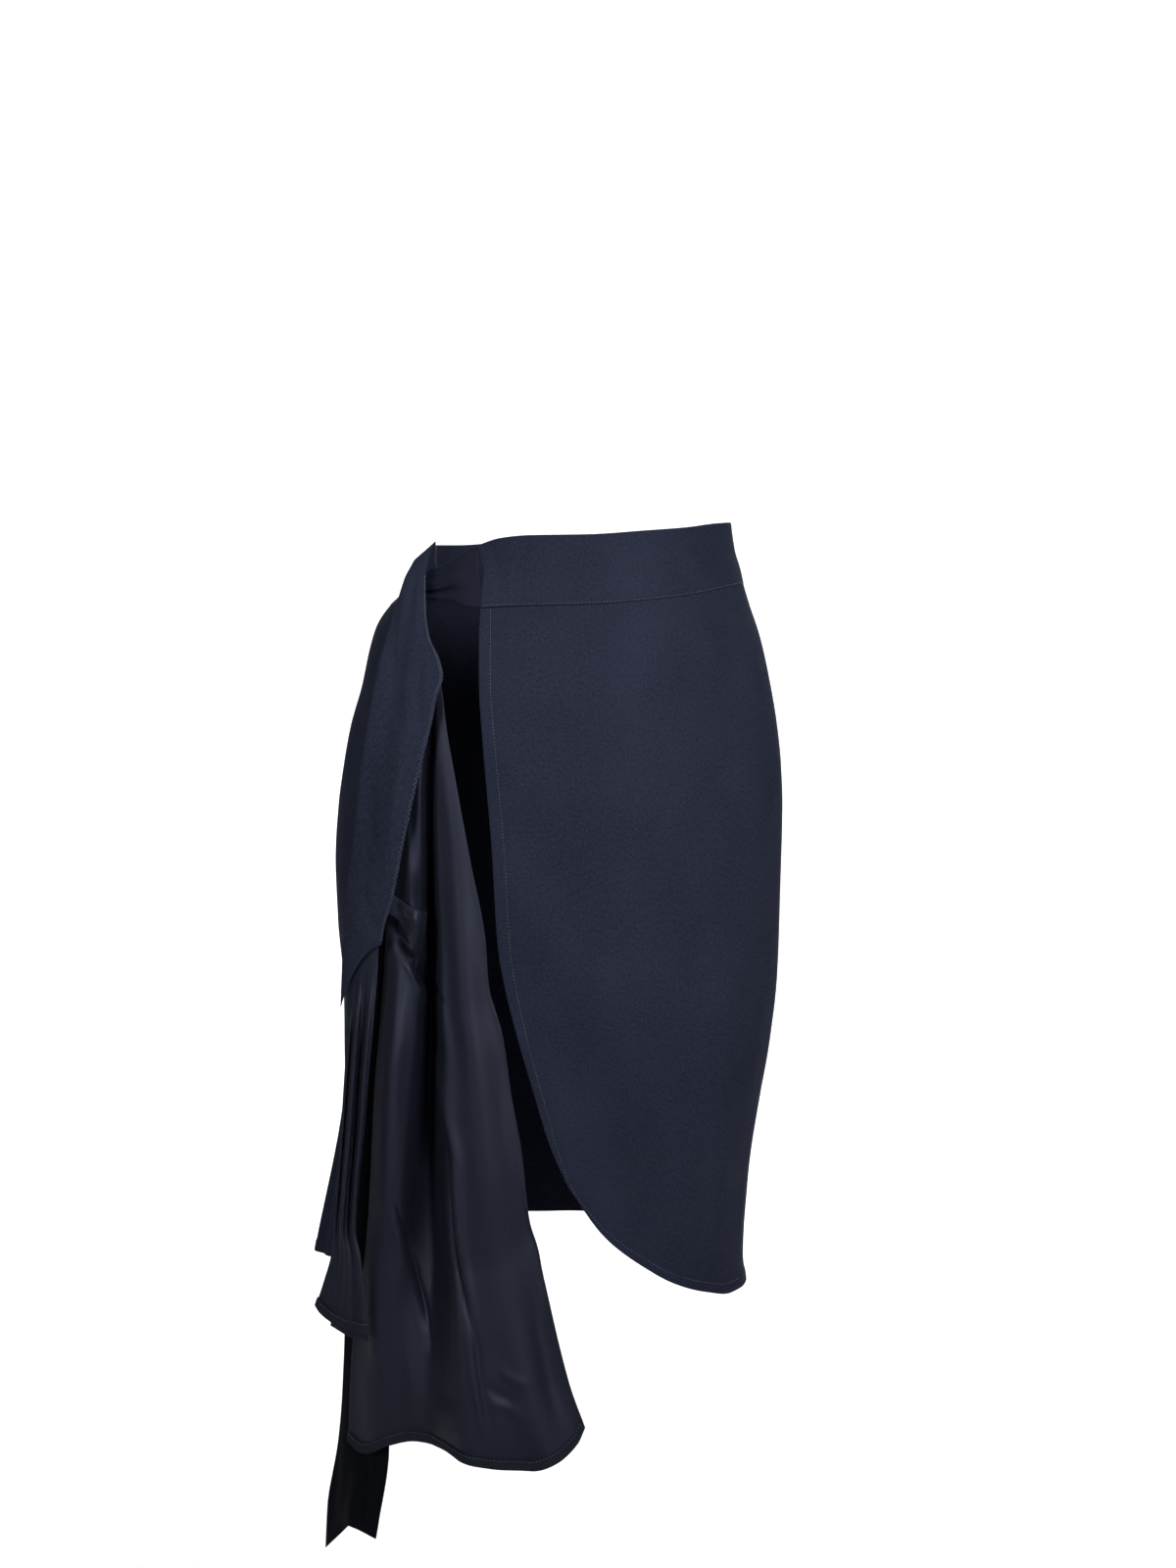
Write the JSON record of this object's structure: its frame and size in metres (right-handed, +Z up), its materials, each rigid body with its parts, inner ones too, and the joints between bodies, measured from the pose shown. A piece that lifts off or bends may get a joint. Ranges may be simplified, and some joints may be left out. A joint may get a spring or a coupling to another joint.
{
  "type": "wrap skirt",
  "caption": "Fitted knee-length wrap skirt in dark crepe with a curved front edge, tied at the right hip with a satin drape, a gathered sash end and a long tail.",
  "frame": {"origin": "middle of the waist opening, level with the waistband, where the wearer's waist holds the skirt", "axes": "+Z up; the front faces -Y; the wearer's left side is at +X and the tied right hip at -X"},
  "size_m": [0.3717, 0.2714, 0.8026],
  "materials": {
    "crepe": "matte midnight navy crepe with a fine grain",
    "satin": "softly shiny midnight navy satin",
    "tail_satin": "near-black satin, low shine"
  },
  "bodies": {
    "root": {"front_panel": "crepe", "back_panel": "crepe", "waistband": "crepe", "sash": "crepe", "tie": "satin", "drape": "satin", "drape_hem": "satin", "drape_loop": "satin", "flounce": "satin", "flounce_hem": "satin", "flounce_under": "satin", "tail": "tail_satin"}
  },
  "joints": []
}
